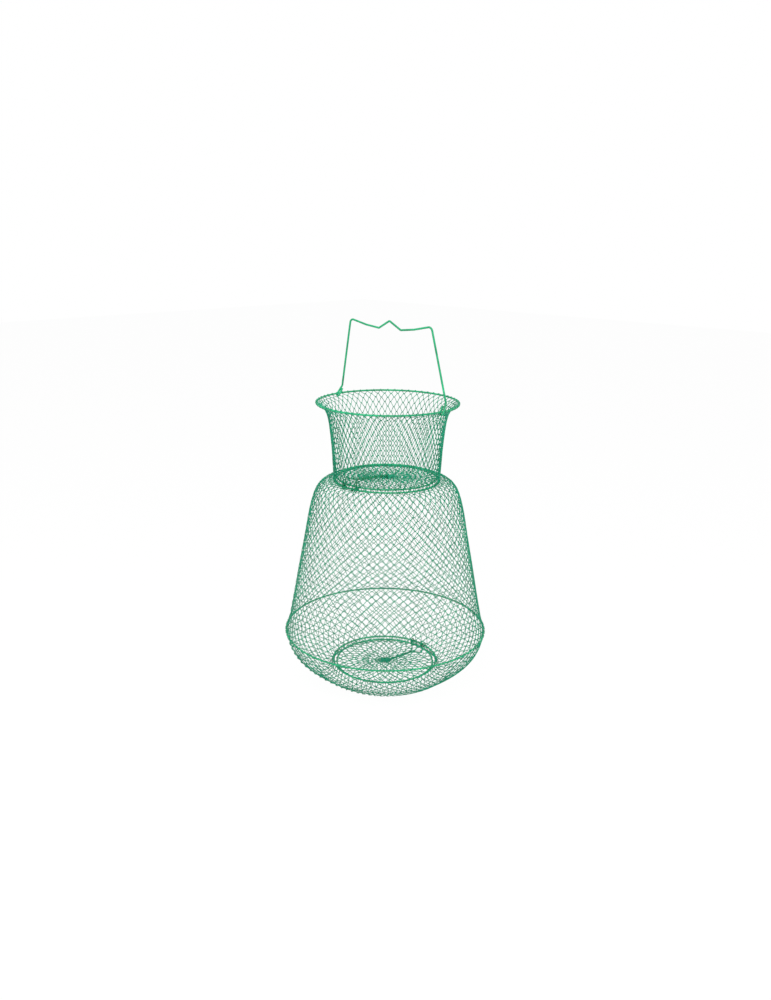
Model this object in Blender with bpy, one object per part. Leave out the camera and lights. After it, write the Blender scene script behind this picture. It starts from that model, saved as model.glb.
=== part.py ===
"""Collapsible wire keep net: a neck, a wide body and a bowl-shaped base of diamond wire net, carried on
four wire rings, with a sprung round door at each end and a wire bail on the rim. Metres, +Z up."""
import math

import bmesh
import bpy
import numpy as np

# Rings, each given by the centre line of its wire and the radius of the wire itself
RIM_RADIUS = 0.1110
RIM_WIRE = 0.00145
RIM_Z = 0.4570
COLLAR_RADIUS = 0.0840
COLLAR_Z = 0.3330
HOOP_RADIUS = 0.1650
HOOP_Z = 0.0770
BOTTOM_RADIUS = 0.0866
BOTTOM_Z = 0.0165
RING_WIRE = 0.00125
GAP = 0.00035

# Net lattice, drawn with fewer and larger diamonds than the real mesh
NET_AROUND = 18
NECK_ROWS = 4
BODY_ROWS = 11
BODY_PARTED_ROWS = (4, 7)
BASE_ROWS = 4
NET_HALF_WIDTH = 0.00095
NET_HALF_DEPTH = 0.0010

# The lowest knots of the base net, cut flat where they stand on the ground
FOOT_RADIUS = BOTTOM_RADIUS + 0.0124
FOOT_FLAT = 0.0005
FOOT_Z = NET_HALF_DEPTH - FOOT_FLAT

# Doors: the top one sits just above the collar ring, the bottom one just below the bottom ring
TOP_DOOR_CLEARANCE = 0.0050
TOP_DOOR_RADIUS = COLLAR_RADIUS - TOP_DOOR_CLEARANCE
BOTTOM_DOOR_CLEARANCE = 0.0056
BOTTOM_DOOR_RADIUS = BOTTOM_RADIUS - BOTTOM_DOOR_CLEARANCE
DOOR_OFFSET = 2.0 * RING_WIRE + 0.0010
DOOR_AROUND = 12
DOOR_ROWS = 4
DOOR_HALF_WIDTH = 0.0008
DOOR_HALF_DEPTH = 0.0009
DOOR_HUB_RADIUS = 0.0170

# Door springs and hinge clips. Each hinge runs a little inside its ring's outermost point, so that the
# straight axis passes through the curved wire at both coils and both clips.
HINGE_INSET = 0.0008
SPRING_WIRE = 0.00095
SPRING_PLAY = 0.00115
SPRING_COIL = RING_WIRE + SPRING_WIRE + SPRING_PLAY
SPRING_TURNS = 2
SPRING_PITCH = 2.0 * SPRING_WIRE + 0.0006
SPRING_COIL_X = 0.0124
SPRING_RISE = 0.0146
SPRING_LEG_X = 0.0115
SPRING_LEG_IN = 0.0022
SPRING_ARM_START = 0.0155
SPRING_ARM_FALL = 0.0030
SPRING_ARM_HALF = 0.0013
SPRING_HOOK = 0.0036
EYELET_WIRE = 0.0009
EYELET_RADIUS = SPRING_ARM_HALF + SPRING_WIRE + GAP + EYELET_WIRE
CLIP_X = 0.0060
CLIP_WIRE = 0.0007
CLIP_PLAY = 0.00095

# Bail: feet hooked round the rim, then (half width, height above the shoulder, bend radius) along its top
BAIL_WIRE = 0.00145
BAIL_PLAY = 0.0003
BAIL_SIDE = RIM_WIRE + BAIL_WIRE + BAIL_PLAY
BAIL_DROP = 0.0014
BAIL_TAIL = 0.0095
BAIL_FOOT = 0.0145
BAIL_FOOT_TILT = math.radians(35.0)
BAIL_LEAN = math.radians(-3.4)
BAIL_RISE = 0.1077
BAIL_TOP = (
    (0.0843, 0.0, 0.0040),
    (0.0500, -0.0040, 0.0200),
    (0.0229, -0.0066, 0.0040),
    (0.0, 0.0057, 0.0030),
)


def along(radius, z, steps):
    """Points given as (outward, upward) steps from a ring."""
    return [(radius + out, z + up) for out, up in steps]


# Outlines of the three nets as (radius, height) on the centre of the wire
NECK_LINE = (
    along(COLLAR_RADIUS, COLLAR_Z, ((0.0, 0.0), (0.0016, 0.0250), (0.0030, 0.0500), (0.0054, 0.0750)))
    + along(RIM_RADIUS, RIM_Z, ((-0.0192, -0.0300), (-0.0161, -0.0170), (-0.0106, -0.0072), (0.0, 0.0)))
)
BODY_LINE = (
    along(HOOP_RADIUS, HOOP_Z, ((0.0, 0.0), (-0.0042, 0.0125), (-0.0074, 0.0255), (-0.0142, 0.0605),
                                (-0.0233, 0.1100)))
    + along(COLLAR_RADIUS, COLLAR_Z, ((0.0478, -0.0945), (0.0405, -0.0545), (0.0342, -0.0295),
                                      (0.0280, -0.0145), (0.0196, -0.0055), (0.0095, -0.0012), (0.0, 0.0)))
)
BASE_LINE = (
    along(HOOP_RADIUS, HOOP_Z, ((0.0, 0.0), (-0.0038, -0.0165), (-0.0105, -0.0315), (-0.0210, -0.0440),
                                (-0.0340, -0.0555)))
    + along(FOOT_RADIUS, FOOT_Z, ((0.0180, 0.0110), (0.0080, 0.0031), (0.0, 0.0)))
    + along(BOTTOM_RADIUS, BOTTOM_Z, ((0.0059, -0.0133), (0.0019, -0.0070), (0.0, 0.0)))
)


def new_object(name, bm):
    """Turns a bmesh into an object whose faces point outward."""
    bmesh.ops.triangulate(bm, faces=list(bm.faces))
    bmesh.ops.recalc_face_normals(bm, faces=list(bm.faces))
    if bm.calc_volume(signed=True) < 0.0:
        bmesh.ops.reverse_faces(bm, faces=list(bm.faces))
    mesh = bpy.data.meshes.new(name)
    bm.to_mesh(mesh)
    bm.free()
    obj = bpy.data.objects.new(name, mesh)
    bpy.context.scene.collection.objects.link(obj)
    return obj


def wire_ring(name, radius, z, wire, around=60, section=8):
    """A closed ring of round wire lying flat."""
    bm = bmesh.new()
    loops = []
    for i in range(around):
        a = 2.0 * math.pi * i / around
        row = []
        for j in range(section):
            b = 2.0 * math.pi * (j + 0.5) / section
            r = radius + wire * math.cos(b)
            row.append(bm.verts.new((r * math.cos(a), r * math.sin(a), z + wire * math.sin(b))))
        loops.append(row)
    for i in range(around):
        here, there = loops[i], loops[(i + 1) % around]
        for j in range(section):
            k = (j + 1) % section
            bm.faces.new((here[j], here[k], there[k], there[j]))
    return new_object(name, bm)


def rounded_path(corners, step=math.radians(22.0)):
    """Points along a bent wire: each corner is (point, bend radius)."""
    pts = [np.array(c[0], float) for c in corners]
    out = [pts[0]]
    for i in range(1, len(pts) - 1):
        radius = corners[i][1]
        a = pts[i - 1] - pts[i]
        b = pts[i + 1] - pts[i]
        a /= np.linalg.norm(a)
        b /= np.linalg.norm(b)
        turn = math.pi - math.acos(float(np.clip(np.dot(a, b), -1.0, 1.0)))
        if turn < 1e-3 or radius <= 0.0:
            out.append(pts[i])
            continue
        reach = radius * math.tan(turn / 2.0)
        start = pts[i] + a * reach
        middle = a + b
        centre = pts[i] + middle / np.linalg.norm(middle) * radius / math.cos(turn / 2.0)
        first = start - centre
        side = -a
        count = max(2, int(math.ceil(turn / step)))
        for k in range(count + 1):
            t = turn * k / count
            out.append(centre + first * math.cos(t) + side * radius * math.sin(t))
    out.append(pts[-1])
    return out


def swept_wire(name, path, wire, closed=False, section=8):
    """A round wire along a path, its section carried along without twist."""
    pts = [np.array(p, float) for p in path]
    n = len(pts)
    tangents = []
    for i in range(n):
        before = pts[i - 1] if (i > 0 or closed) else pts[i]
        after = pts[(i + 1) % n] if (i < n - 1 or closed) else pts[i]
        a = pts[i] - before
        b = after - pts[i]
        a = a / np.linalg.norm(a) if np.linalg.norm(a) > 1e-9 else np.zeros(3)
        b = b / np.linalg.norm(b) if np.linalg.norm(b) > 1e-9 else np.zeros(3)
        t = a + b
        tangents.append(t / np.linalg.norm(t))
    seed = np.array((0.0, 0.0, 1.0)) if abs(tangents[0][2]) < 0.8 else np.array((1.0, 0.0, 0.0))
    normal = seed - tangents[0] * np.dot(seed, tangents[0])
    normal /= np.linalg.norm(normal)
    bm = bmesh.new()
    loops = []
    for i in range(n):
        normal = normal - tangents[i] * np.dot(normal, tangents[i])
        normal /= np.linalg.norm(normal)
        other = np.cross(tangents[i], normal)
        row = []
        for j in range(section):
            b = 2.0 * math.pi * (j + 0.5) / section
            row.append(bm.verts.new(tuple(pts[i] + wire * (math.cos(b) * normal + math.sin(b) * other))))
        loops.append(row)
    for i in range(n if closed else n - 1):
        here, there = loops[i], loops[(i + 1) % n]
        for j in range(section):
            k = (j + 1) % section
            bm.faces.new((here[j], here[k], there[k], there[j]))
    if not closed:
        bm.faces.new(loops[0])
        bm.faces.new(loops[-1])
    return new_object(name, bm)


class Outline:
    """A smooth (radius, height) line that gives points and normals by length along it."""

    def __init__(self, knots, samples=24):
        k = np.array(knots, float)
        ext = np.vstack((2 * k[0] - k[1], k, 2 * k[-1] - k[-2]))
        pts = []
        for i in range(1, len(ext) - 2):
            p0, p1, p2, p3 = ext[i - 1:i + 3]
            for s in range(samples):
                t = s / samples
                a = 2 * p1 + (p2 - p0) * t + (2 * p0 - 5 * p1 + 4 * p2 - p3) * t * t
                pts.append(0.5 * (a + (3 * p1 - p0 - 3 * p2 + p3) * t ** 3))
        pts.append(k[-1])
        self.pts = np.array(pts)
        self.along = np.concatenate(((0.0,), np.cumsum(np.hypot(*np.diff(self.pts, axis=0).T))))
        self.length = float(self.along[-1])

    def at(self, v):
        return np.array([np.interp(v, self.along, self.pts[:, c]) for c in (0, 1)])

    def point(self, angle, v, lift=0.0):
        d = self.at(min(v + 1e-4, self.length)) - self.at(max(v - 1e-4, 0.0))
        d /= np.hypot(*d)
        r, z = self.at(v) + lift * np.array((d[1], -d[0]))
        return (r * math.cos(angle), r * math.sin(angle), z)

    def length_to(self, radius, z):
        """Length along the line to its point nearest the one given."""
        return float(self.along[int(np.argmin(np.hypot(self.pts[:, 0] - radius, self.pts[:, 1] - z)))])


def equal_strut_rows(line, start, end, halves, around):
    """Places the lattice rows so that every strut from start to end has one length, and gives that length."""
    def march(strut):
        v = start
        rows = [v]
        for _ in range(halves):
            half = math.pi / around * line.at(min(v, line.length))[0]
            v += math.sqrt(max(strut * strut - half * half, 1e-8))
            rows.append(v)
        return rows

    low, high = 0.002, 0.080
    for _ in range(60):
        mid = 0.5 * (low + high)
        if march(mid)[-1] < end:
            low = mid
        else:
            high = mid
    rows = march(high)
    rows[-1] = end
    return rows, high


def lattice(name, line, rows, around, phase, half_width, half_depth, hub=None):
    """A diamond net on a surface of revolution, as one closed body of struts.

    rows are lengths along the line; phase turns row 0. With a hub radius, the last row runs into a plate
    with a round hole instead of ending in points.
    """
    step = 2.0 * math.pi / around
    last = len(rows) - 1
    bm = bmesh.new()

    def turn(row, i):
        return phase + step * (i + 0.5 * (row % 2))

    def index(row, i):
        return (row, i % around)

    radius = [line.at(v)[0] for v in rows]
    outer, inner = {}, {}
    for row in range(last + 1):
        for i in range(around):
            outer[row, i] = bm.verts.new(line.point(turn(row, i), rows[row], half_depth))
            inner[row, i] = bm.verts.new(line.point(turn(row, i), rows[row], -half_depth))

    def corner_shift(row, toward):
        width = radius[row] * step / 2.0
        height = abs(rows[toward] - rows[row])
        return half_width * math.hypot(width, height) / width

    def panel(a, b, p, q):
        """Both faces of one side of the strut a to b, whose edge on that side is p to q."""
        for skin in (outer, inner):
            bm.faces.new((skin[a], skin[b], q))
            bm.faces.new((skin[a], q, p))

    for row in range(last - 1):
        for i in range(around):
            top = index(row, i)
            left = index(row + 1, i - 1) if row % 2 == 0 else index(row + 1, i)
            right = index(row + 1, i) if row % 2 == 0 else index(row + 1, i + 1)
            bottom = index(row + 2, i)
            mid = row + 1
            centre = turn(row, i)
            height = 0.5 * (rows[row + 2] - rows[row])
            width = radius[mid] * step / 2.0
            side = (width - half_width * math.hypot(width, height) / height) / radius[mid]
            hole = {
                top: bm.verts.new(line.point(centre, rows[row] + corner_shift(row, row + 1))),
                bottom: bm.verts.new(line.point(centre, rows[row + 2] - corner_shift(row + 2, row + 1))),
                left: bm.verts.new(line.point(centre - side, rows[mid])),
                right: bm.verts.new(line.point(centre + side, rows[mid])),
            }
            for a, b in ((top, right), (right, bottom), (bottom, left), (left, top)):
                panel(a, b, hole[a], hole[b])

    def border(tip_row, valley_row, sign):
        edge = {}
        for row in (tip_row, valley_row):
            shift = corner_shift(row, valley_row if row == tip_row else tip_row)
            for i in range(around):
                edge[row, i] = bm.verts.new(line.point(turn(row, i), rows[row] + sign * shift))
        for i in range(around):
            tip = index(tip_row, i)
            near = (index(valley_row, i - 1), index(valley_row, i))
            if tip_row % 2 == 1:
                near = (index(valley_row, i), index(valley_row, i + 1))
            for valley in near:
                panel(tip, valley, edge[tip], edge[valley])

    border(0, 1, -1.0)
    if hub is None:
        border(last, last - 1, 1.0)
    else:
        close_hub(bm, outer, inner, last, around, phase, step, hub, half_depth, line)
    return new_object(name, bm)


def close_hub(bm, outer, inner, last, around, phase, step, hub, half_depth, line):
    """Joins the last zigzag of the lattice to a flat plate with a round hole."""
    rims = []
    for skin, lift in ((outer, half_depth), (inner, -half_depth)):
        height = line.point(0.0, line.length, lift)[2]
        rim = []
        for k in range(2 * around):
            a = phase + step * 0.5 * (k + (last % 2))
            rim.append(bm.verts.new((hub * math.cos(a), hub * math.sin(a), height)))
        chain = []
        for k in range(2 * around):
            if k % 2 == 0:
                chain.append(skin[last, (k // 2) % around])
            else:
                i = k // 2 + (last % 2)
                chain.append(skin[last - 1, i % around])
        for k in range(2 * around):
            m = (k + 1) % (2 * around)
            bm.faces.new((chain[k], chain[m], rim[m], rim[k]))
        rims.append(rim)
    for k in range(2 * around):
        m = (k + 1) % (2 * around)
        bm.faces.new((rims[0][k], rims[0][m], rims[1][m], rims[1][k]))


def point_reach(radius, strut):
    """How far the point of a border strut stands out past its knot."""
    return NET_HALF_WIDTH * strut / (math.pi / NET_AROUND * radius)


def net_rows(line, start_wire, end_wire, halves):
    """Rows of a net whose points stand just clear of the wires at both of its ends."""
    strut = line.length / halves
    for _ in range(4):
        start = start_wire + GAP + point_reach(line.at(0.0)[0], strut)
        end = line.length - end_wire - GAP - point_reach(line.at(line.length)[0], strut)
        rows, strut = equal_strut_rows(line, start, end, halves, NET_AROUND)
    return rows


def hinge_phase(rows_to_hinge):
    """Turns a net so that the row at its hinged end has a point at both hinge sides."""
    return math.pi / 2.0 + math.pi / NET_AROUND * (rows_to_hinge % 2)


def neck_net():
    line = Outline(NECK_LINE)
    rows = net_rows(line, RING_WIRE, RIM_WIRE, NECK_ROWS)
    return lattice("neck_net", line, rows, NET_AROUND, hinge_phase(0), NET_HALF_WIDTH, NET_HALF_DEPTH)


def body_nets():
    """The body net in three parts, whose points face each other across two rows of knots."""
    line = Outline(BODY_LINE)
    rows = net_rows(line, RING_WIRE, RING_WIRE, BODY_ROWS)
    phase = hinge_phase(BODY_ROWS)
    low_row, high_row = BODY_PARTED_ROWS
    low_gap, high_gap = (half_parting(line, rows, row) for row in BODY_PARTED_ROWS)
    parts = (
        ("body_net_lower", 0, rows[:low_row] + [rows[low_row] - low_gap]),
        ("body_net_middle", low_row,
         [rows[low_row] + low_gap] + rows[low_row + 1:high_row] + [rows[high_row] - high_gap]),
        ("body_net_upper", high_row, [rows[high_row] + high_gap] + rows[high_row + 1:]),
    )
    for name, first, part in parts:
        turned = phase + math.pi / NET_AROUND * (first % 2)
        lattice(name, line, part, NET_AROUND, turned, NET_HALF_WIDTH, NET_HALF_DEPTH)


def half_parting(line, rows, row):
    """How far the knots of two parts of a net stand back from the row where their points face each other."""
    radius = line.at(rows[row])[0]
    strut = math.hypot(rows[row] - rows[row - 1], math.pi / NET_AROUND * radius)
    return point_reach(radius, strut) + 0.5 * GAP


def base_net():
    """The bowl that the keep net stands on, its lowest ring of knots cut flat."""
    line = Outline(BASE_LINE)
    foot = line.length_to(FOOT_RADIUS, FOOT_Z)
    strut = foot / BASE_ROWS
    for _ in range(4):
        start = RING_WIRE + GAP + point_reach(HOOP_RADIUS, strut)
        rows, strut = equal_strut_rows(line, start, foot, BASE_ROWS, NET_AROUND)
    last_strut = math.hypot(line.length - foot, math.pi / NET_AROUND * BOTTOM_RADIUS)
    rows.append(line.length - RING_WIRE - GAP - point_reach(BOTTOM_RADIUS, last_strut))
    phase = hinge_phase(BASE_ROWS + 1)
    net = lattice("base_net", line, rows, NET_AROUND, phase, NET_HALF_WIDTH, NET_HALF_DEPTH)
    bpy.ops.mesh.primitive_cube_add(size=1.0, location=(0.0, 0.0, -0.05))
    slab = bpy.context.object
    slab.scale = (0.6, 0.6, 0.1)
    cut = net.modifiers.new("cut", "BOOLEAN")
    cut.operation = "DIFFERENCE"
    cut.solver = "EXACT"
    cut.object = slab
    bpy.context.view_layer.objects.active = net
    bpy.ops.object.modifier_apply(modifier=cut.name)
    bpy.data.objects.remove(slab, do_unlink=True)
    return net


def door_net(name, radius, z, facing):
    """A round flat net gathered at the middle; facing is +1 for the top door, -1 for the bottom one."""
    start = radius - RING_WIRE - GAP
    tip = NET_HALF_WIDTH * 1.5
    line = Outline(((start, z), (0.5 * start, z), (EYELET_RADIUS, z)))
    ratio = (DOOR_HUB_RADIUS / (start - tip)) ** (1.0 / DOOR_ROWS)
    rows = [start - (start - tip) * ratio ** k for k in range(DOOR_ROWS + 1)]
    phase = facing * -math.pi / 2.0 + math.pi / DOOR_AROUND
    hub = EYELET_RADIUS + EYELET_WIRE + GAP
    return lattice(name, line, rows, DOOR_AROUND, phase, DOOR_HALF_WIDTH, DOOR_HALF_DEPTH, hub=hub)


def least_gap(path, wire):
    """The least gap between turns of a bent wire, measured on points along it."""
    pts = np.array(path, float)
    steps = np.linalg.norm(np.diff(pts, axis=0), axis=1)
    reach = np.concatenate(((0.0,), np.cumsum(steps)))
    apart = np.linalg.norm(pts[:, None] - pts[None], axis=2)
    apart[np.abs(reach[:, None] - reach[None]) < 8.0 * wire] = np.inf
    return float(apart.min()) - 2.0 * wire


def door_spring(name, place, reach):
    """One wire: a coil round the ring, a leg, the doubled arm hooked through the eyelet, and back again."""
    half = []
    count = 10 * SPRING_TURNS
    end = math.radians(20.0)
    for k in range(count + 1):
        t = k / count
        a = end - 2.0 * math.pi * SPRING_TURNS * (1.0 - t)
        x = SPRING_COIL_X + SPRING_PITCH * SPRING_TURNS * (1.0 - t)
        half.append((x, SPRING_COIL * math.cos(a), SPRING_COIL * math.sin(a)))
    over = DOOR_OFFSET + max(DOOR_HALF_DEPTH, EYELET_WIRE) + GAP + SPRING_WIRE
    under = DOOR_OFFSET - SPRING_HOOK
    bend = [
        (half[-1], 0.0),
        ((SPRING_LEG_X, SPRING_LEG_IN, SPRING_RISE), 0.0022),
        ((SPRING_ARM_HALF, SPRING_ARM_START, SPRING_RISE - SPRING_ARM_FALL), 0.0050),
        ((SPRING_ARM_HALF, reach, over), 0.0012),
        ((SPRING_ARM_HALF, reach, under), SPRING_ARM_HALF),
        ((0.0, reach, under), 0.0),
    ]
    half += rounded_path(bend)[1:-1]
    path = half + [(-p[0], p[1], p[2]) for p in reversed(half)]
    print(name, "least gap", round(1000.0 * least_gap(path, SPRING_WIRE), 2), "mm")
    return swept_wire(name, [place(p) for p in path], SPRING_WIRE, section=6)


def hinge_clip(name, place, side, far_u):
    """A closed wire loop that holds the door ring to the ring it swings on."""
    x = side * CLIP_X
    near = RING_WIRE + CLIP_WIRE + CLIP_PLAY
    far = RING_WIRE + GAP + CLIP_WIRE
    span = math.hypot(far_u, DOOR_OFFSET)
    lean = math.atan2(DOOR_OFFSET, far_u)
    open_angle = math.acos((near - far) / span)
    path = []
    for k in range(11):
        a = lean + open_angle + (2.0 * math.pi - 2.0 * open_angle) * k / 10
        path.append((x, near * math.cos(a), near * math.sin(a)))
    for k in range(7):
        a = lean - open_angle + 2.0 * open_angle * k / 6
        path.append((x, far_u + far * math.cos(a), DOOR_OFFSET + far * math.sin(a)))
    return swept_wire(name, [place(p) for p in path], CLIP_WIRE, closed=True, section=6)


def door(prefix, radius, ring_z, ring_radius, facing):
    """A complete door: the top one hinges at the front and faces up, the bottom one at the back and down."""
    z = ring_z + facing * DOOR_OFFSET
    wire_ring(prefix + "_door_ring", radius, z, RING_WIRE)
    wire_ring(prefix + "_door_eyelet", EYELET_RADIUS, z, EYELET_WIRE, around=18, section=6)
    door_net(prefix + "_door_net", radius, z, facing)
    reach = ring_radius - HINGE_INSET

    def place(p):
        return (p[0], facing * (p[1] - reach), ring_z + facing * p[2])

    door_spring(prefix + "_door_spring", place, reach)
    far_u = reach - math.sqrt(radius ** 2 - CLIP_X ** 2)
    hinge_clip(prefix + "_hinge_clip_left", place, -1.0, far_u)
    hinge_clip(prefix + "_hinge_clip_right", place, 1.0, far_u)


def bail():
    """The carrying bail: hooked feet under the rim, legs that close in, and a notched top bar."""
    up_foot = np.array((0.0, math.sin(BAIL_FOOT_TILT), math.cos(BAIL_FOOT_TILT)))
    up_leg = np.array((0.0, math.sin(BAIL_LEAN), math.cos(BAIL_LEAN)))
    pivot = np.array((0.0, 0.0, RIM_Z))

    def foot(x, q):
        return pivot + np.array((RIM_RADIUS + x, 0.0, 0.0)) + up_foot * q

    kink = foot(BAIL_SIDE, BAIL_FOOT)

    def top(x, h):
        return np.array((x, kink[1], kink[2])) + up_leg * (BAIL_RISE + h)

    half = [
        (foot(-BAIL_SIDE, BAIL_TAIL), 0.0),
        (foot(-BAIL_SIDE, -BAIL_DROP - BAIL_SIDE), BAIL_SIDE * 0.999),
        (foot(BAIL_SIDE, -BAIL_DROP - BAIL_SIDE), BAIL_SIDE * 0.999),
        (kink, 0.0030),
    ]
    half += [(top(x, h), r) for x, h, r in BAIL_TOP[:-1]]
    other = [(p * np.array((-1.0, 1.0, 1.0)), r) for p, r in reversed(half)]
    x, h, r = BAIL_TOP[-1]
    path = rounded_path(half + [(top(x, h), r)] + other)
    return swept_wire("bail_handle", path, BAIL_WIRE)


def main():
    for obj in list(bpy.data.objects):
        bpy.data.objects.remove(obj, do_unlink=True)
    wire_ring("rim_ring", RIM_RADIUS, RIM_Z, RIM_WIRE)
    wire_ring("collar_ring", COLLAR_RADIUS, COLLAR_Z, RING_WIRE)
    wire_ring("hoop_ring", HOOP_RADIUS, HOOP_Z, RING_WIRE, around=72)
    wire_ring("bottom_ring", BOTTOM_RADIUS, BOTTOM_Z, RING_WIRE)
    neck_net()
    body_nets()
    base_net()
    door("top", TOP_DOOR_RADIUS, COLLAR_Z, COLLAR_RADIUS, 1.0)
    door("bottom", BOTTOM_DOOR_RADIUS, BOTTOM_Z, BOTTOM_RADIUS, -1.0)
    bail()


main()
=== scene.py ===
"""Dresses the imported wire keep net: hinged wire nets at their full mesh, smooth coated rings, the bail, and
both doors with their springs, eyelets and clips, on a plain white stage. Metres, +Z up."""
import math

import bpy
import numpy as np
from mathutils import Matrix, Vector


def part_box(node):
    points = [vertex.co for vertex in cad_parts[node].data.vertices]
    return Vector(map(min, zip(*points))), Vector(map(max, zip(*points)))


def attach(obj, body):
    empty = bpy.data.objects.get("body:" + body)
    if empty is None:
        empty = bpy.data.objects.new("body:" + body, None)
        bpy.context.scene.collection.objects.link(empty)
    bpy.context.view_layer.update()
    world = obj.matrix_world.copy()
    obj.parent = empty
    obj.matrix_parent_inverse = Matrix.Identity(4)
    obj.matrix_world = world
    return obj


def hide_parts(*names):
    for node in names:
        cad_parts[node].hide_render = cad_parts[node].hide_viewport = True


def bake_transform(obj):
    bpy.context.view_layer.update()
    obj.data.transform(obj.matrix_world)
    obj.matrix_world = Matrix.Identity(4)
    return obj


bl_info = {
    "name": "Wire Keep Net",
    "version": (1, 0, 0),
    "blender": (4, 5, 0),
    "location": "3D View > Sidebar > Keep Net",
    "description": "Dresses a collapsible wire keep net around its packed frame",
    "category": "Add Mesh",
}

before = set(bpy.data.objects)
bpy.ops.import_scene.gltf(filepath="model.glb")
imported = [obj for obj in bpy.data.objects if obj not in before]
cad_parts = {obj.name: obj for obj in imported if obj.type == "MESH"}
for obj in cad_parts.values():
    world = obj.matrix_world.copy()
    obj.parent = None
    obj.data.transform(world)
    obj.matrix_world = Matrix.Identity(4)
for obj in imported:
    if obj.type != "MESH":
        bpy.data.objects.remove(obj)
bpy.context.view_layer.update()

# The frame's rings have eight-sided wire and its eyelets six-sided wire, so their boxes fall short of it
EIGHT_SIDED = math.cos(math.pi / 8.0)
SIX_SIDED = math.cos(math.pi / 6.0)


def ring_size(node):
    """Radius, height and wire radius of one of the frame's rings."""
    low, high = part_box(node)
    wire = 0.5 * (high.z - low.z) / EIGHT_SIDED
    return high.x - wire * EIGHT_SIDED, 0.5 * (low.z + high.z), wire


def eyelet_size(node):
    """Radius, height and wire radius of one of the frame's eyelets."""
    low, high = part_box(node)
    wire = 0.5 * (high.z - low.z)
    return high.x - wire * SIX_SIDED, 0.5 * (low.z + high.z), wire


RIM, RIM_Z, RIM_WIRE = ring_size("rim_ring")
COLLAR, COLLAR_Z, RING_WIRE = ring_size("collar_ring")
HOOP, HOOP_Z, _ = ring_size("hoop_ring")
BOTTOM, BOTTOM_Z, _ = ring_size("bottom_ring")

# Net outlines as outward and upward steps in millimetres from a ring, on the middle of the net
NECK_FROM_COLLAR = ((0.0, 0.0), (1.6, 25.0), (3.0, 50.0), (5.4, 75.0))
NECK_FROM_RIM = ((-19.2, -30.0), (-16.1, -17.0), (-10.6, -7.2), (0.0, 0.0))
BODY_FROM_HOOP = ((0.0, 0.0), (-4.2, 12.5), (-7.4, 25.5), (-14.2, 60.5), (-23.3, 110.0))
BODY_FROM_COLLAR = (
    (47.8, -94.5), (40.5, -54.5), (34.2, -29.5), (28.0, -14.5), (19.6, -5.5), (9.5, -1.2), (0.0, 0.0))
BASE_FROM_HOOP = ((0.0, 0.0), (-3.8, -16.5), (-10.5, -31.5), (-21.0, -44.0), (-34.0, -55.5))
BASE_FROM_FOOT = ((18.0, 10.6), (8.0, 2.8), (0.0, 0.0))
BASE_FROM_BOTTOM = ((5.9, -13.0), (1.9, -7.0), (0.0, 0.0))
FOOT_OUT = 0.0124
FOOT_PASSES = 3

# Where the neck net's knots start on the collar, in steps from one knot to the next
NET_START = 0.9

# The frame's body net is parted at two of its rows of knots
BODY_ROWS = 11
BODY_PARTED = (4, 7)

# The shortest and the longest strut that a net is tried with, how often the choice is halved, and the least
# rise of a strut, squared
STRUT_RANGE = (0.002, 0.060)
STRUT_HALVINGS = 50
LEAST_RISE = 1e-7

# Hooks: the half turn that each one bends, its half width in wire radii, and the play where wires pass
HOOK_ARC = np.radians((0.0, 45.0, 90.0, 135.0, 180.0))
LINK_WIDTH = 1.4
LINK_PLAY = 0.00004
WRAP_WIDTH = 1.3
WRAP_PLAY = 0.00008

# How the knots stray: the side where they stand closest, waves of (turns round the net, pitch along it,
# start), how far from a ring they fade, and the radius below which they stray no further round
FRONT = math.radians(-46.9)
STRAY_PER_METRE = 55.0
STRAY_ROUND = ((9, 2.1, 0.0), (17, -3.3, 1.0), (26, 5.9, 2.0))
STRAY_ALONG = ((7, -1.7, 0.5), (19, 2.9, 4.0), (29, -6.1, 0.0))
STRAY_FADE = 0.012
STRAY_LEAST_RADIUS = 0.010

# Rings: faces round the ring and round its wire, and the weld as (reach along the ring, swelling)
RING_FACES = 240
RING_WIRE_FACES = 14
WELD = ((0.0032, 0.00008), (0.0013, 0.00014))
DOOR_WELD = {"top": math.radians(20.0), "bottom": math.radians(160.0)}

# The bend radius of a half turn, as a share of half its width, and the least turn that counts as a bend
HALF_TURN = 0.999
STRAIGHT = 0.001

# Door springs and clips, across the hinge, inward from it and out from the fish's side of the door
DOOR_OFFSET = 0.0035
HINGE_INSET = 0.0008
COIL_RADIUS = 0.00335
COIL_TURNS = 1
COIL_STEPS = 24
COIL_END = math.radians(20.0)
COIL_PITCH = 0.0025
COIL_X = 0.0124
LEG_RISE = 0.0146
LEG_X = 0.0115
LEG_IN = 0.0022
LEG_BEND = 0.0022
ARM_START = 0.0155
ARM_FALL = 0.0030
ARM_BEND = 0.0050
ARM_SPREAD = {"top": 0.0026, "bottom": 0.0014}
ARM_TAPER = 0.0120
ARM_TAPER_BEND = 0.0300
ARM_HALF = 0.0013
ARM_TIP_BEND = 0.0012
ARM_HOOK = 0.0036
CLIP_X = 0.0060
CLIP_PLAY = 0.00095
CLIP_NEAR_POINTS = 22
CLIP_FAR_POINTS = 14
GAP = 0.00035

# How strongly the loops of a door's net are drawn together in pairs at the hub
HUB_PAIRED = 0.7

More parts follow.
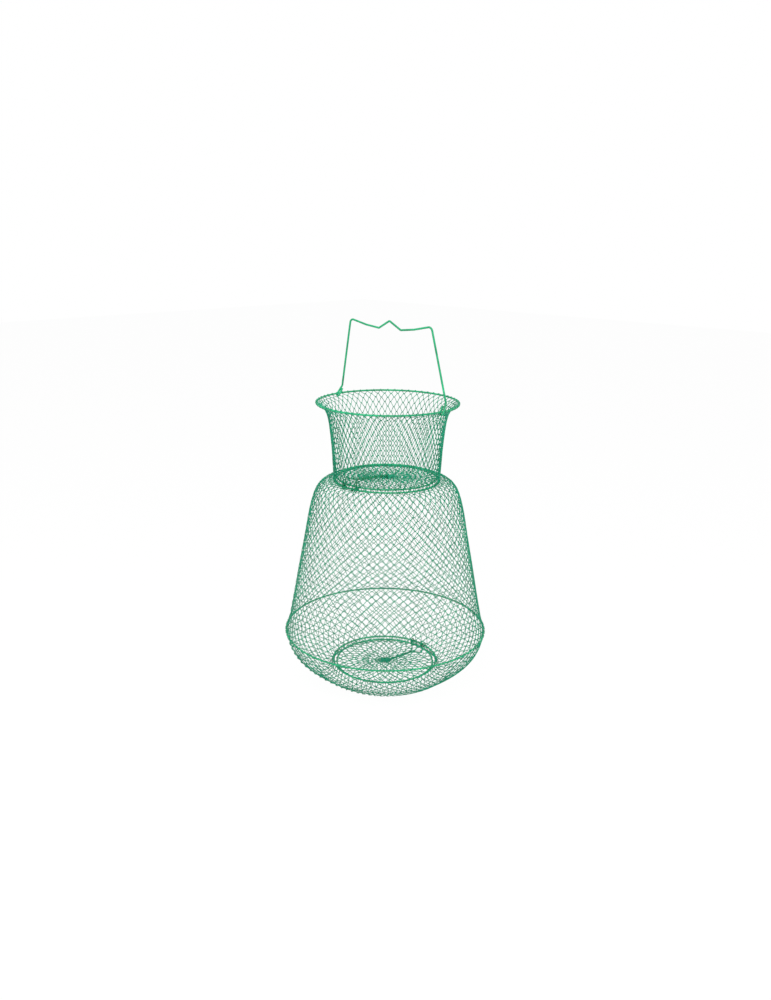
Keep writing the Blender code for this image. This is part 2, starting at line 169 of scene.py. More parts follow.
# Bail: its hooked feet, and (half width, height above the shoulder, bend radius) along its top
BAIL_TILT = math.radians(35.0)
BAIL_LEAN = math.radians(-3.4)
BAIL_PLAY = 0.0003
BAIL_DROP = 0.0014
BAIL_TAIL = 0.0095
BAIL_FOOT = 0.0145
BAIL_FOOT_IN = 0.0035
BAIL_KINK_BEND = 0.0030
BAIL_RISE = 0.1077
BAIL_TOP = (
    (0.0843, 0.0034, 0.0065),
    (0.0500, -0.0036, 0.0300),
    (0.0229, -0.0066, 0.0040),
    (0.0, 0.0057, 0.0030),
)

# Coating: where its tones and flecks set in along their noise, how dark a fleck is, and how gloss drifts
# The darker tones are partly the coating's own uneven thickness and partly painted shade.
TONES = (0.34, 0.66)
FLECKS = (0.60, 0.74)
FLECK_SHADE = 0.42
GLOSS_DRIFT = (-0.08, 0.10)

# Stage: where the lights aim, where each one stands and how wide it is, and how wide and white the floor is
LIGHT_AIM = (0.0, 0.0, 0.27)
KEY_PLACE = (0.55, -1.60, 2.25)
KEY_SIZE = 1.5
FILL_PLACE = (1.75, -0.35, 1.65)
FILL_SIZE = 1.3
FLOOR_SIZE = 12.0
FLOOR_WHITE = 0.96
SENSOR_WIDTH = 36.0


class KeepNetSizes(bpy.types.PropertyGroup):
    """Sizes of the wires and the mesh."""

    net_wire: bpy.props.FloatProperty(
        name="Net wire", description="Diameter of the net's wire", default=0.00095,
        unit="LENGTH", precision=5)
    net_depth: bpy.props.FloatProperty(
        name="Course depth", description="How far each course's wires stand apart, front to back",
        default=0.0014, unit="LENGTH", precision=5)
    spring_wire: bpy.props.FloatProperty(
        name="Spring wire", description="Diameter of the door springs", default=0.0019,
        unit="LENGTH", precision=5)
    clip_wire: bpy.props.FloatProperty(
        name="Clip wire", description="Diameter of the hinge clips", default=0.0014,
        unit="LENGTH", precision=5)
    bail_wire: bpy.props.FloatProperty(
        name="Bail wire", description="Diameter of the bail", default=0.0031,
        unit="LENGTH", precision=5)
    around: bpy.props.IntProperty(
        name="Diamonds around", description="Diamonds round each net", default=62, min=12)
    neck_courses: bpy.props.IntProperty(
        name="Neck courses", description="Courses of wire from collar to rim", default=16, min=2)
    body_courses: bpy.props.IntProperty(
        name="Body courses", description="Courses of wire from hoop to collar", default=40, min=2)
    base_courses: bpy.props.IntProperty(
        name="Base courses", description="Courses of wire from hoop to bottom ring", default=18, min=2)
    door_around: bpy.props.IntProperty(
        name="Door diamonds", description="Diamonds round each door at its ring", default=40, min=8)
    door_courses: bpy.props.IntProperty(
        name="Door courses", description="Courses of wire outside the gathered middle", default=6, min=2)
    hub_courses: bpy.props.IntProperty(
        name="Hub courses", description="Courses of wire in the gathered middle of a door", default=4, min=2)
    hub_radius: bpy.props.FloatProperty(
        name="Hub radius", description="Where the door's loops start to be taken up in pairs", default=0.027,
        unit="LENGTH", precision=4)
    crowding: bpy.props.FloatProperty(
        name="Crowding", description="Share by which the mesh is closer at the front than on average",
        default=0.055, min=0.0, max=0.3)
    slack: bpy.props.FloatProperty(
        name="Slack", description="How far the knots stray from a regular mesh", default=0.0009,
        unit="LENGTH", precision=5)


class KeepNetColours(bpy.types.PropertyGroup):
    """Colours of the coated wires and the stage."""

    ring: bpy.props.FloatVectorProperty(
        name="Rings", description="Coating on the rings and the bail", subtype="COLOR", size=3,
        default=(0.022, 0.395, 0.174), min=0.0, max=1.0)
    net: bpy.props.FloatVectorProperty(
        name="Net", description="Coating on the net's wire", subtype="COLOR", size=3,
        default=(0.006, 0.300, 0.160), min=0.0, max=1.0)
    spring: bpy.props.FloatVectorProperty(
        name="Springs", description="Coating on the springs, eyelets and clips", subtype="COLOR", size=3,
        default=(0.004, 0.215, 0.086), min=0.0, max=1.0)
    floor: bpy.props.FloatVectorProperty(
        name="Floor", description="The plain floor", subtype="COLOR", size=3,
        default=(0.95, 0.955, 0.95), min=0.0, max=1.0)


class KeepNetStage(bpy.types.PropertyGroup):
    """Camera and light."""

    camera_place: bpy.props.FloatVectorProperty(
        name="Camera place", description="Where the photograph was taken from", subtype="TRANSLATION", size=3,
        default=(0.9643, -1.0305, 0.7165))
    camera_turn: bpy.props.FloatProperty(
        name="Camera turn", description="Heading of the camera, left of looking along +Y", subtype="ANGLE",
        default=math.radians(43.17))
    camera_dip: bpy.props.FloatProperty(
        name="Camera dip", description="How far the camera looks down", subtype="ANGLE",
        default=math.radians(16.55))
    camera_roll: bpy.props.FloatProperty(
        name="Camera roll", description="Tilt of the camera about its own axis", subtype="ANGLE",
        default=math.radians(0.68))
    lens: bpy.props.FloatProperty(
        name="Lens", description="Focal length in millimetres on a 36 mm sensor", default=32.83, min=10.0)
    ambient: bpy.props.FloatProperty(
        name="Ambient light", description="Strength of the light from all round", default=0.62, min=0.0)
    key: bpy.props.FloatProperty(
        name="Key light", description="Power of the soft light over the camera and to its left",
        default=50.0, min=0.0)
    fill: bpy.props.FloatProperty(
        name="Fill light", description="Power of the soft light on the camera's right", default=22.0, min=0.0)


def sizes():
    """The sizes set in the panel."""
    return bpy.context.scene.keep_net_sizes


def along(radius, z, steps):
    """Points given as outward and upward steps in millimetres from a ring."""
    return [(radius + 0.001 * out, z + 0.001 * up) for out, up in steps]


class Outline:
    """A smooth (radius, height) line whose points and directions are read by length along it."""

    def __init__(self, knots, samples=30):
        k = np.array(knots, float)
        ext = np.vstack((2 * k[0] - k[1], k, 2 * k[-1] - k[-2]))
        pts = []
        for i in range(1, len(ext) - 2):
            p0, p1, p2, p3 = ext[i - 1:i + 3]
            for t in np.arange(samples) / samples:
                a = 2 * p1 + (p2 - p0) * t + (2 * p0 - 5 * p1 + 4 * p2 - p3) * t * t
                pts.append(0.5 * (a + (3 * p1 - p0 - 3 * p2 + p3) * t ** 3))
        pts.append(k[-1])
        self.pts = np.array(pts)
        self.reach = np.concatenate(((0.0,), np.cumsum(np.hypot(*np.diff(self.pts, axis=0).T))))
        self.length = float(self.reach[-1])
        way = np.gradient(self.pts, self.reach, axis=0)
        self.way = way / np.hypot(*way.T)[:, None]

    def radius(self, v):
        """Radius at a length along the line."""
        return float(np.interp(v, self.reach, self.pts[:, 0]))

    def points(self, angle, v, lift):
        """Points in space at those angles, lengths along the line and heights off it."""
        inside = np.clip(v, 0.0, self.length)
        r, z, dr, dz = (np.interp(inside, self.reach, c) for c in (*self.pts.T, *self.way.T))
        r = r + (v - inside) * dr + lift * dz
        z = z + (v - inside) * dz - lift * dr
        return np.stack((r * np.cos(angle), r * np.sin(angle), z), axis=-1)


def even_rows(line, courses, around):
    """Rows of knots such that every strut between them has the same length."""
    def march(strut):
        """The rows that struts of this length give."""
        rows = [0.0]
        for _ in range(courses):
            half = math.pi / around * line.radius(rows[-1])
            rows.append(rows[-1] + math.sqrt(max(strut * strut - half * half, LEAST_RISE)))
        return rows

    low, high = STRUT_RANGE
    for _ in range(STRUT_HALVINGS):
        strut = 0.5 * (low + high)
        if march(strut)[-1] < line.length:
            low = strut
        else:
            high = strut
    rows = np.array(march(high))
    return rows * line.length / rows[-1]


def waves(table, angle, u):
    """A sum of waves round and along a net."""
    return sum(np.sin(turns * angle + pitch * u + start) for turns, pitch, start in table)


def uneven(line, angle, v):
    """Makes the mesh as uneven as a hand-linked net: closer together at the front, and nowhere quite regular.

    The same shift moves both wires of a knot, so that they stay hooked together. It dies out at the rings.
    """
    fade = np.clip(np.minimum(v, line.length - v) / STRAY_FADE, 0.0, 1.0)
    u = STRAY_PER_METRE * v
    slack = sizes().slack * fade / len(STRAY_ROUND)
    radius = np.maximum(np.interp(v, line.reach, line.pts[:, 0]), STRAY_LEAST_RADIUS)
    crowded = angle - sizes().crowding * np.sin(angle - FRONT)
    turned = crowded + slack * waves(STRAY_ROUND, angle, u) / radius
    return turned, v + slack * waves(STRAY_ALONG, angle, u)


def course(line, low, high, turn, low_hook, high_hook, around, paired=0.0):
    """One closed course of wire, bent up and down between two rows and hooked round each row's knots.

    A hook is (sideways, along, depth): half its width, how far it reaches past the row, and how far it
    stands off the net's middle in front and behind. Rising struts lie in front and falling ones behind.
    With paired, the knots of the high row are drawn together two by two, by that share of a step.
    """
    step = 2.0 * math.pi / around
    angle, v, lift = [], [], []
    for i in range(around):
        for row, hook, shift, sign in ((low, low_hook, 0.0, -1.0), (high, high_hook, 0.5, 1.0)):
            side, reach, depth = hook
            width = side / line.radius(row)
            drawn = paired * step * (0.5 - i % 2) if row == high else 0.0
            angle.append(turn + step * (i + shift) + drawn - width * np.cos(HOOK_ARC))
            v.append(row + sign * reach * np.sin(HOOK_ARC))
            lift.append(sign * depth * np.cos(HOOK_ARC))
    angle, v, lift = (np.concatenate(x) for x in (angle, v, lift))
    angle, v = uneven(line, angle, v)
    return angle, v, lift


def wire_piece(name, paths, diameter, closed=False, sides=1):
    """Bends round wire along each path of points, as one piece. The wire has 4 + 2 * sides faces round it."""
    bpy.ops.object.select_all(action="DESELECT")
    bpy.ops.curve.primitive_bezier_curve_add(location=(0.0, 0.0, 0.0))
    piece = bpy.context.object
    curve = piece.data
    curve.splines.clear()
    curve.dimensions = "3D"
    curve.bevel_depth = 0.5 * diameter
    curve.bevel_resolution = sides
    curve.use_fill_caps = not closed
    for path in paths:
        spline = curve.splines.new("POLY")
        spline.points.add(len(path) - 1)
        spline.points.foreach_set("co", np.column_stack((path, np.ones(len(path)))).ravel())
        spline.use_cyclic_u = closed
    bpy.ops.object.convert(target="MESH")
    piece = bpy.context.object
    piece.name = name
    piece.data.name = name
    bpy.ops.object.mode_set(mode="EDIT")
    bpy.ops.mesh.select_all(action="SELECT")
    bpy.ops.mesh.remove_doubles(threshold=1e-6)
    bpy.ops.mesh.normals_make_consistent(inside=False)
    bpy.ops.object.mode_set(mode="OBJECT")
    bpy.ops.object.shade_smooth()
    return piece


def finish_piece(piece, body, node, material):
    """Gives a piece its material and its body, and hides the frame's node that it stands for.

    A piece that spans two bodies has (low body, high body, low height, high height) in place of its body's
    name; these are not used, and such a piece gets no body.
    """
    piece.data.materials.clear()
    piece.data.materials.append(material)
    if isinstance(body, str):
        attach(piece, body)
    else:
        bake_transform(piece)
    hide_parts(node)


def hook_round(ring_wire):
    """The hook that wraps a ring of the given wire, or that links two courses where there is no ring."""
    wire = 0.5 * sizes().net_wire
    if ring_wire is None:
        return LINK_WIDTH * wire, wire + LINK_PLAY, 0.5 * sizes().net_depth
    wrap = ring_wire + wire + WRAP_PLAY
    return WRAP_WIDTH * wire, wrap, wrap


def net_courses(line, count, around, turn, low_wire, high_wire, paired=0.0):
    """All the courses of one net, from its low end to its high end, each hooked into the next."""
    rows = even_rows(line, count, around)
    step = 2.0 * math.pi / around
    hooks = [hook_round(low_wire)] + [hook_round(None)] * (count - 1) + [hook_round(high_wire)]
    paths = []
    for j in range(count):
        start = turn + 0.5 * step * j
        drawn = paired if j == count - 1 else 0.0
        path = course(line, rows[j], rows[j + 1], start, hooks[j], hooks[j + 1], around, drawn)
        paths.append(line.points(*path))
    return paths


def rounded_path(corners, step=math.radians(9.0)):
    """Points along a bent wire: each corner is (point, bend radius), and the two ends have no bend."""
    pts = [np.array(c[0], float) for c in corners]
    out = [pts[0]]
    for i in range(1, len(pts) - 1):
        a, b = pts[i - 1] - pts[i], pts[i + 1] - pts[i]
        a /= np.linalg.norm(a)
        b /= np.linalg.norm(b)
        turn = math.pi - math.acos(float(np.clip(np.dot(a, b), -1.0, 1.0)))
        if turn < STRAIGHT:
            out.append(pts[i])
            continue
        start = pts[i] + a * corners[i][1] * math.tan(turn / 2.0)
        middle = (a + b) / np.linalg.norm(a + b)
        centre = pts[i] + middle * corners[i][1] / math.cos(turn / 2.0)
        count = max(3, int(math.ceil(turn / step)))
        for k in range(count + 1):
            t = turn * k / count
            out.append(centre + (start - centre) * math.cos(t) - a * corners[i][1] * math.sin(t))
    out.append(pts[-1])
    return out


def shader_node(tree, kind, **inputs):
    """Adds a shader node and sets its inputs by name."""
    made = tree.nodes.new(kind)
    for name, value in inputs.items():
        made.inputs[name.replace("_", " ")].default_value = value
    return made


def coated_wire(name, colour, roughness, depth):
    """Green coated wire: darker patches along it, partly the coating running thicker and partly painted
    shade, and a faint orange-peel skin.

    Depth is how light the darkest patches are, as a share of the colour. On the rings they run deeper, as
    painted shade for the shadow where the net's wires wrap them.
    """
    material = bpy.data.materials.get(name)
    if material:
        return material
    material = bpy.data.materials.new(name)
    material.use_nodes = True
    tree = material.node_tree
    shader = tree.nodes["Principled BSDF"]
    place = tree.nodes.new("ShaderNodeTexCoord")
    drift = shader_node(tree, "ShaderNodeTexNoise", Scale=38.0, Detail=3.0, Roughness=0.6)
    fleck = shader_node(tree, "ShaderNodeTexNoise", Scale=520.0, Detail=2.0, Roughness=0.5)
    skin = shader_node(tree, "ShaderNodeTexNoise", Scale=1500.0, Detail=2.0, Roughness=0.5)
    for texture in (drift, fleck, skin):
        tree.links.new(place.outputs["Object"], texture.inputs["Vector"])
    # Darker patches along the wire: partly the coating's own uneven thickness, partly painted shade.
    tones = tree.nodes.new("ShaderNodeValToRGB")
    tones.color_ramp.elements[0].position = TONES[0]
    tones.color_ramp.elements[0].color = (*(c * depth for c in colour), 1.0)
    tones.color_ramp.elements[1].position = TONES[1]
    tones.color_ramp.elements[1].color = (*colour, 1.0)
    tree.links.new(drift.outputs["Fac"], tones.inputs["Fac"])
    thin = tree.nodes.new("ShaderNodeMapRange")
    thin.inputs["From Min"].default_value = FLECKS[0]
    thin.inputs["From Max"].default_value = FLECKS[1]
    tree.links.new(fleck.outputs["Fac"], thin.inputs["Value"])
    mix = tree.nodes.new("ShaderNodeMix")
    mix.data_type = "RGBA"
    mix.inputs["B"].default_value = (*(FLECK_SHADE * c for c in colour), 1.0)
    tree.links.new(thin.outputs["Result"], mix.inputs["Factor"])
    tree.links.new(tones.outputs["Color"], mix.inputs["A"])
    tree.links.new(mix.outputs["Result"], shader.inputs["Base Color"])
    rough = tree.nodes.new("ShaderNodeMapRange")
    rough.inputs["To Min"].default_value = roughness + GLOSS_DRIFT[0]
    rough.inputs["To Max"].default_value = roughness + GLOSS_DRIFT[1]
    tree.links.new(fleck.outputs["Fac"], rough.inputs["Value"])
    tree.links.new(rough.outputs["Result"], shader.inputs["Roughness"])
    bump = shader_node(tree, "ShaderNodeBump", Strength=0.22, Distance=0.0001)
    tree.links.new(skin.outputs["Fac"], bump.inputs["Height"])
    tree.links.new(bump.outputs["Normal"], shader.inputs["Normal"])
    shader.inputs["IOR"].default_value = 1.45
    shader.inputs["Specular IOR Level"].default_value = 0.25
    return material


def ring_coating():
    """The glossiest coating, on the rings and the bail."""
    colours = bpy.context.scene.keep_net_colours
    # Its deep, dark patches are partly painted shade for the shadow where the net's wires wrap the rings.
    return coated_wire("coated_ring_wire", colours.ring, roughness=0.34, depth=0.58)


def net_coating():
    """The coating on the nets' thin wire."""
    colours = bpy.context.scene.keep_net_colours
    return coated_wire("coated_net_wire", colours.net, roughness=0.42, depth=0.70)


def spring_coating():
    """The darkest coating, on the springs, eyelets and clips."""
    colours = bpy.context.scene.keep_net_colours
    return coated_wire("coated_spring_wire", colours.spring, roughness=0.38, depth=0.74)


def ring_piece(name, radius, z, wire, weld_at):
    """A ring of round wire, butt-welded at one place where the coating runs thicker."""
    bpy.ops.object.select_all(action="DESELECT")
    bpy.ops.mesh.primitive_torus_add(
        major_radius=radius, minor_radius=wire, major_segments=RING_FACES, minor_segments=RING_WIRE_FACES,
        location=(0.0, 0.0, z))
    piece = bpy.context.object
    piece.name = name
    piece.data.name = name
    bpy.ops.object.transform_apply(location=True)
    weld = Vector((math.cos(weld_at), math.sin(weld_at)))
    for reach, swell in WELD:
        near = [(v.co.xy.normalized() - weld).length * radius < reach for v in piece.data.vertices]
        bpy.ops.object.mode_set(mode="EDIT")
        bpy.ops.mesh.select_all(action="DESELECT")
        bpy.ops.object.mode_set(mode="OBJECT")
        piece.data.vertices.foreach_set("select", near)
        bpy.ops.object.mode_set(mode="EDIT")
        bpy.ops.mesh.select_mode(type="VERT")
        bpy.ops.transform.shrink_fatten(value=swell)
        bpy.ops.object.mode_set(mode="OBJECT")
    bpy.ops.object.shade_smooth()
    return piece


class KEEPNET_OT_rings(bpy.types.Operator):
    """Make the rim, the collar, the hoop and the bottom ring"""

    bl_idname = "keep_net.rings"
    bl_label = "Wire Rings"

    def execute(self, context):
        for cad, body, weld_at in (("rim_ring", "rim", 97.0), ("collar_ring", "collar", 61.0),
                                   ("hoop_ring", "hoop", 118.0), ("bottom_ring", "base", 213.0)):
            radius, z, wire = ring_size(cad)
            piece = ring_piece(cad.replace("_ring", "_wire_ring"), radius, z, wire, math.radians(weld_at))
            finish_piece(piece, body, cad, ring_coating())
        return {"FINISHED"}


class KEEPNET_OT_nets(bpy.types.Operator):
    """Make the neck net, the body net and the base net, each course hooked into the next"""

    bl_idname = "keep_net.nets"
    bl_label = "Hinged Nets"

    def execute(self, context):
        size = sizes()
        step = 2.0 * math.pi / size.around
        turn = NET_START * step
        neck = Outline(along(COLLAR, COLLAR_Z, NECK_FROM_COLLAR) + along(RIM, RIM_Z, NECK_FROM_RIM))
        body = Outline(along(HOOP, HOOP_Z, BODY_FROM_HOOP) + along(COLLAR, COLLAR_Z, BODY_FROM_COLLAR))
        neck_paths = net_courses(neck, size.neck_courses, size.around, turn, RING_WIRE, RIM_WIRE)
        body_turn = turn + 0.5 * step * (1 + size.body_courses % 2)
        body_paths = net_courses(body, size.body_courses, size.around, body_turn, RING_WIRE, RING_WIRE)
        base_paths = self.base_paths(body_turn + 0.5 * step)
        low, high = (round(size.body_courses * row / BODY_ROWS) for row in BODY_PARTED)
        body_span = ("hoop", "collar", HOOP_Z, COLLAR_Z)
        for name, paths, cad, span in (
                ("neck_wire_net", neck_paths, "neck_net", ("collar", "rim", COLLAR_Z, RIM_Z)),
                ("body_wire_net_upper", body_paths[high:], "body_net_upper", body_span),
                ("body_wire_net_middle", body_paths[low:high], "body_net_middle", body_span),
                ("body_wire_net_lower", body_paths[:low], "body_net_lower", body_span),
                ("base_wire_net", base_paths, "base_net", ("base", "hoop", BOTTOM_Z, HOOP_Z))):
            piece = wire_piece(name, paths, size.net_wire, closed=True)
            finish_piece(piece, span, cad, net_coating())
        return {"FINISHED"}

    def base_paths(self, turn):
        """The base net's courses, with its foot let down until the lowest wire rests on the ground."""
        size = sizes()
        foot_z = 0.0
        for _ in range(FOOT_PASSES):
            line = Outline(
                along(HOOP, HOOP_Z, BASE_FROM_HOOP) + along(BOTTOM + FOOT_OUT, foot_z, BASE_FROM_FOOT)
                + along(BOTTOM, BOTTOM_Z, BASE_FROM_BOTTOM))
            paths = net_courses(line, size.base_courses, size.around, turn, RING_WIRE, RING_WIRE)
            foot_z += 0.5 * size.net_wire - min(path[:, 2].min() for path in paths)
        return paths


class KEEPNET_OT_bail(bpy.types.Operator):
    """Make the bail, with its hooked feet and notched top bar"""

    bl_idname = "keep_net.bail"
    bl_label = "Bail"

    def execute(self, context):
        up_foot = np.array((0.0, math.sin(BAIL_TILT), math.cos(BAIL_TILT)))
        up_leg = np.array((0.0, math.sin(BAIL_LEAN), math.cos(BAIL_LEAN)))
        side = RIM_WIRE + 0.5 * sizes().bail_wire + BAIL_PLAY

        def foot(x, q):
            """A point beside the rim's wire: outward from it, and up along the bail's tilted foot."""
            return np.array((RIM + x, 0.0, RIM_Z)) + up_foot * q

        kink = foot(side - BAIL_FOOT_IN, BAIL_FOOT)
        half = [
            (foot(-side, BAIL_TAIL), 0.0),
            (foot(-side, -BAIL_DROP - side), side * HALF_TURN),
            (foot(side, -BAIL_DROP - side), side * HALF_TURN),
            (kink, BAIL_KINK_BEND),
        ]
        top = [(np.array((x, kink[1], kink[2])) + up_leg * (BAIL_RISE + h), r) for x, h, r in BAIL_TOP]
        half += top[:-1]
        other = [(p * np.array((-1.0, 1.0, 1.0)), r) for p, r in reversed(half)]
        path = rounded_path(half + top[-1:] + other)
        piece = wire_piece("bail_wire", [path], sizes().bail_wire, sides=5)
        finish_piece(piece, "bail", "bail_handle", ring_coating())
        return {"FINISHED"}


class KEEPNET_OT_door(bpy.types.Operator):
    """Make one door: its ring, gathered net, eyelet, spring and two clips"""

    bl_idname = "keep_net.door"
    bl_label = "Sprung Door"

    door: bpy.props.EnumProperty(
        name="Door", description="Which door to make", items=(
            ("top", "Top door", "Hinged at the front of the collar, facing up"),
            ("bottom", "Bottom door", "Hinged at the back of the bottom ring, facing down")))

    def execute(self, context):
        top = self.door == "top"
        facing = 1.0 if top else -1.0
        body = self.door + "_door"
        carrier, carrier_z = (COLLAR, COLLAR_Z) if top else (BOTTOM, BOTTOM_Z)
        radius, z, wire = ring_size(body + "_ring")
        reach = carrier - HINGE_INSET

        def place(p):
            """A point in the frame from one across the hinge, inward from it and out from the door."""
            return (p[0], facing * (p[1] - reach), carrier_z + facing * p[2])

        piece = ring_piece(body + "_wire_ring", radius, z, wire, DOOR_WELD[self.door])
        finish_piece(piece, body, body + "_ring", ring_coating())
        eye, eye_z, eye_wire = eyelet_size(body + "_eyelet")
        piece = ring_piece(body + "_wire_eyelet", eye, eye_z, eye_wire, 0.0)
        finish_piece(piece, body, body + "_eyelet", spring_coating())
        self.net(body, radius, z, wire, eye, eye_wire)
        over = DOOR_OFFSET + eye_wire + GAP + 0.5 * sizes().spring_wire
        path = [place(p) for p in self.spring_path(reach, over, ARM_SPREAD[self.door])]
        piece = wire_piece(body + "_wire_spring", [path], sizes().spring_wire, sides=4)
        finish_piece(piece, body, body + "_spring", spring_coating())
        far_u = reach - math.sqrt(radius ** 2 - CLIP_X ** 2)
        for side, sign in (("left", -1.0), ("right", 1.0)):
            path = [place(p) for p in self.clip_path(sign, far_u)]
            name = f"{self.door}_wire_clip_{side}"
            piece = wire_piece(name, [path], sizes().clip_wire, closed=True, sides=4)
            finish_piece(piece, body, f"{self.door}_hinge_clip_{side}", spring_coating())
        return {"FINISHED"}

    def net(self, body, radius, z, wire, eye, eye_wire):
        """The door's flat net: its loops are taken up in pairs at the hub, then gathered into the eyelet."""
        size = sizes()
        around = 2 * (size.door_around // 2)
        step = 2.0 * math.pi / around
        plain = Outline(((radius, z), (0.5 * (radius + size.hub_radius), z), (size.hub_radius, z)))
        hub = Outline(((size.hub_radius, z), (0.5 * (size.hub_radius + eye), z), (eye, z)))
        paths = net_courses(plain, size.door_courses, around, 0.0, wire, None, paired=HUB_PAIRED)
        turn = 0.5 * step * (size.door_courses - 1) + step
        paths += net_courses(hub, size.hub_courses, around // 2, turn, None, eye_wire)
        piece = wire_piece(body + "_wire_net", paths, size.net_wire, closed=True)
        finish_piece(piece, body, body + "_net", net_coating())

    def spring_path(self, reach, over, spread):
        """One wire: a coil on the ring, a leg, the doubled arm hooked through the eyelet, and back again."""
        half = []
        count = COIL_STEPS * COIL_TURNS
        for k in range(count + 1):
            left = COIL_TURNS * (1.0 - k / count)
            a = COIL_END - 2.0 * math.pi * left
            half.append((COIL_X + COIL_PITCH * left, COIL_RADIUS * math.cos(a), COIL_RADIUS * math.sin(a)))
        under = DOOR_OFFSET - ARM_HOOK
        slope = (LEG_RISE - ARM_FALL - over) / (reach - ARM_START)
        half += rounded_path([
            (half[-1], 0.0),
            ((LEG_X, LEG_IN, LEG_RISE), LEG_BEND),
            ((spread, ARM_START, LEG_RISE - ARM_FALL), ARM_BEND),
            ((spread, reach - ARM_TAPER, over + ARM_TAPER * slope), ARM_TAPER_BEND),
            ((ARM_HALF, reach, over), ARM_TIP_BEND),
            ((ARM_HALF, reach, under), ARM_HALF * HALF_TURN),
            ((0.0, reach, under), 0.0),
        ])[1:-1]
        return half + [(-p[0], p[1], p[2]) for p in reversed(half)]

    def clip_path(self, side, far_u):
        """A closed loop that holds the door ring to the ring it swings on."""
        clip = 0.5 * sizes().clip_wire
        near = RING_WIRE + clip + CLIP_PLAY
        far = RING_WIRE + clip + GAP
        lean = math.atan2(DOOR_OFFSET, far_u)
        spread = math.acos((near - far) / math.hypot(far_u, DOOR_OFFSET))
        path = []
        for a in np.linspace(lean + spread, lean + 2.0 * math.pi - spread, CLIP_NEAR_POINTS):
            path.append((side * CLIP_X, near * math.cos(a), near * math.sin(a)))
        for a in np.linspace(lean - spread, lean + spread, CLIP_FAR_POINTS):
            path.append((side * CLIP_X, far_u + far * math.cos(a), DOOR_OFFSET + far * math.sin(a)))
        return path


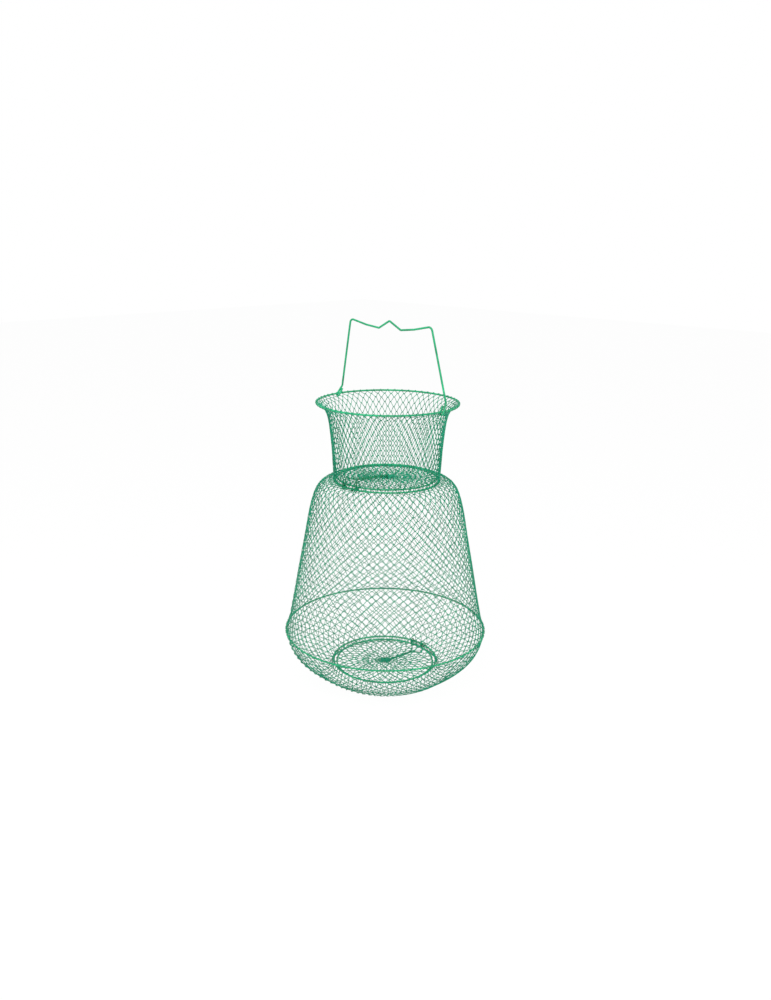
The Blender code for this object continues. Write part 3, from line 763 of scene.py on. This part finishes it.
class KEEPNET_OT_stage(bpy.types.Operator):
    """Make the white stage, its soft lights and the camera"""

    bl_idname = "keep_net.stage"
    bl_label = "Stage"

    def execute(self, context):
        look = context.scene.keep_net_stage
        context.scene.view_settings.view_transform = "Standard"
        self.floor(context.scene.keep_net_colours.floor)
        self.world(look.ambient)
        aim = Vector(LIGHT_AIM)
        for name, place, breadth, power in (
                ("key_light", KEY_PLACE, KEY_SIZE, look.key),
                ("fill_light", FILL_PLACE, FILL_SIZE, look.fill)):
            bpy.ops.object.light_add(type="AREA", location=place)
            light = context.object
            light.name = name
            light.data.size = breadth
            light.data.energy = power
            light.rotation_euler = (aim - light.location).to_track_quat("-Z", "Y").to_euler()
        bpy.ops.object.camera_add(location=look.camera_place)
        camera = context.object
        turn, dip, roll = look.camera_turn, look.camera_dip, look.camera_roll
        ahead = Vector((-math.sin(turn) * math.cos(dip), math.cos(turn) * math.cos(dip), -math.sin(dip)))
        right = Vector((math.cos(turn), math.sin(turn), 0.0))
        up = right.cross(ahead)
        x_axis = right * math.cos(roll) + up * math.sin(roll)
        y_axis = up * math.cos(roll) - right * math.sin(roll)
        axes = Matrix((x_axis, y_axis, -ahead)).transposed()
        camera.matrix_world = Matrix.Translation(look.camera_place) @ axes.to_4x4()
        camera.data.lens = look.lens
        camera.data.sensor_width = SENSOR_WIDTH
        camera.data.dof.use_dof = False
        context.scene.camera = camera
        return {"FINISHED"}

    def floor(self, colour):
        """A wide white floor whose shadows stay faint in the picture."""
        bpy.ops.object.select_all(action="DESELECT")
        bpy.ops.mesh.primitive_plane_add(size=FLOOR_SIZE, location=(0.0, 0.0, 0.0))
        floor = bpy.context.object
        floor.name = "stage_floor"
        material = bpy.data.materials.new("white_floor")
        material.use_nodes = True
        tree = material.node_tree
        tree.nodes.clear()
        matt = tree.nodes.new("ShaderNodeBsdfDiffuse")
        matt.inputs["Color"].default_value = (*colour, 1.0)
        glow = tree.nodes.new("ShaderNodeEmission")
        glow.inputs["Color"].default_value = (1.0, 1.0, 1.0, 1.0)
        share = tree.nodes.new("ShaderNodeMath")
        share.operation = "MULTIPLY"
        share.inputs[1].default_value = FLOOR_WHITE
        rays = tree.nodes.new("ShaderNodeLightPath")
        mix = tree.nodes.new("ShaderNodeMixShader")
        out = tree.nodes.new("ShaderNodeOutputMaterial")
        seen = self.seen_rays(tree, rays)
        tree.links.new(seen, share.inputs[0])
        tree.links.new(share.outputs[0], mix.inputs["Fac"])
        tree.links.new(matt.outputs[0], mix.inputs[1])
        tree.links.new(glow.outputs[0], mix.inputs[2])
        tree.links.new(mix.outputs[0], out.inputs["Surface"])
        floor.data.materials.append(material)

    def seen_rays(self, tree, rays):
        """1 for what the camera sees straight, in a gloss or through something clear."""
        first = tree.nodes.new("ShaderNodeMath")
        first.operation = "MAXIMUM"
        second = tree.nodes.new("ShaderNodeMath")
        second.operation = "MAXIMUM"
        tree.links.new(rays.outputs["Is Camera Ray"], first.inputs[0])
        tree.links.new(rays.outputs["Is Glossy Ray"], first.inputs[1])
        tree.links.new(first.outputs[0], second.inputs[0])
        tree.links.new(rays.outputs["Is Transmission Ray"], second.inputs[1])
        return second.outputs[0]

    def world(self, ambient):
        """White all round for the camera, and an even soft light for everything else."""
        world = bpy.data.worlds.new("white_room")
        bpy.context.scene.world = world
        world.use_nodes = True
        tree = world.node_tree
        tree.nodes.clear()
        rays = tree.nodes.new("ShaderNodeLightPath")
        seen = self.seen_rays(tree, rays)
        strength = tree.nodes.new("ShaderNodeMapRange")
        strength.inputs["To Min"].default_value = ambient
        strength.inputs["To Max"].default_value = 1.0
        back = tree.nodes.new("ShaderNodeBackground")
        back.inputs["Color"].default_value = (1.0, 1.0, 1.0, 1.0)
        out = tree.nodes.new("ShaderNodeOutputWorld")
        tree.links.new(seen, strength.inputs["Value"])
        tree.links.new(strength.outputs["Result"], back.inputs["Strength"])
        tree.links.new(back.outputs[0], out.inputs["Surface"])


class KEEPNET_PT_panel(bpy.types.Panel):
    """Lists the steps that dress the keep net"""

    bl_idname = "KEEPNET_PT_panel"
    bl_label = "Wire Keep Net"
    bl_space_type = "VIEW_3D"
    bl_region_type = "UI"
    bl_category = "Keep Net"

    def draw(self, context):
        layout = self.layout
        for group in ("keep_net_sizes", "keep_net_colours", "keep_net_stage"):
            settings = getattr(context.scene, group)
            box = layout.box()
            for name in settings.__annotations__:
                box.prop(settings, name)
        layout.operator("keep_net.rings")
        layout.operator("keep_net.nets")
        layout.operator("keep_net.bail")
        for door in ("top", "bottom"):
            layout.operator("keep_net.door", text=door.capitalize() + " Door").door = door
        layout.operator("keep_net.stage")


CLASSES = (KeepNetSizes, KeepNetColours, KeepNetStage, KEEPNET_OT_rings, KEEPNET_OT_nets, KEEPNET_OT_bail,
           KEEPNET_OT_door, KEEPNET_OT_stage, KEEPNET_PT_panel)


def register():
    """Adds the classes, and the settings that they read."""
    for cls in CLASSES:
        bpy.utils.register_class(cls)
    bpy.types.Scene.keep_net_sizes = bpy.props.PointerProperty(type=KeepNetSizes)
    bpy.types.Scene.keep_net_colours = bpy.props.PointerProperty(type=KeepNetColours)
    bpy.types.Scene.keep_net_stage = bpy.props.PointerProperty(type=KeepNetStage)


def unregister():
    """Takes the settings and the classes away again."""
    del bpy.types.Scene.keep_net_stage
    del bpy.types.Scene.keep_net_colours
    del bpy.types.Scene.keep_net_sizes
    for cls in reversed(CLASSES):
        bpy.utils.unregister_class(cls)


def main():
    """Makes the stage and every piece."""
    register()
    bpy.ops.keep_net.stage()
    bpy.ops.keep_net.rings()
    bpy.ops.keep_net.nets()
    bpy.ops.keep_net.bail()
    bpy.ops.keep_net.door(door="top")
    bpy.ops.keep_net.door(door="bottom")


if __name__ == "__main__":
    main()
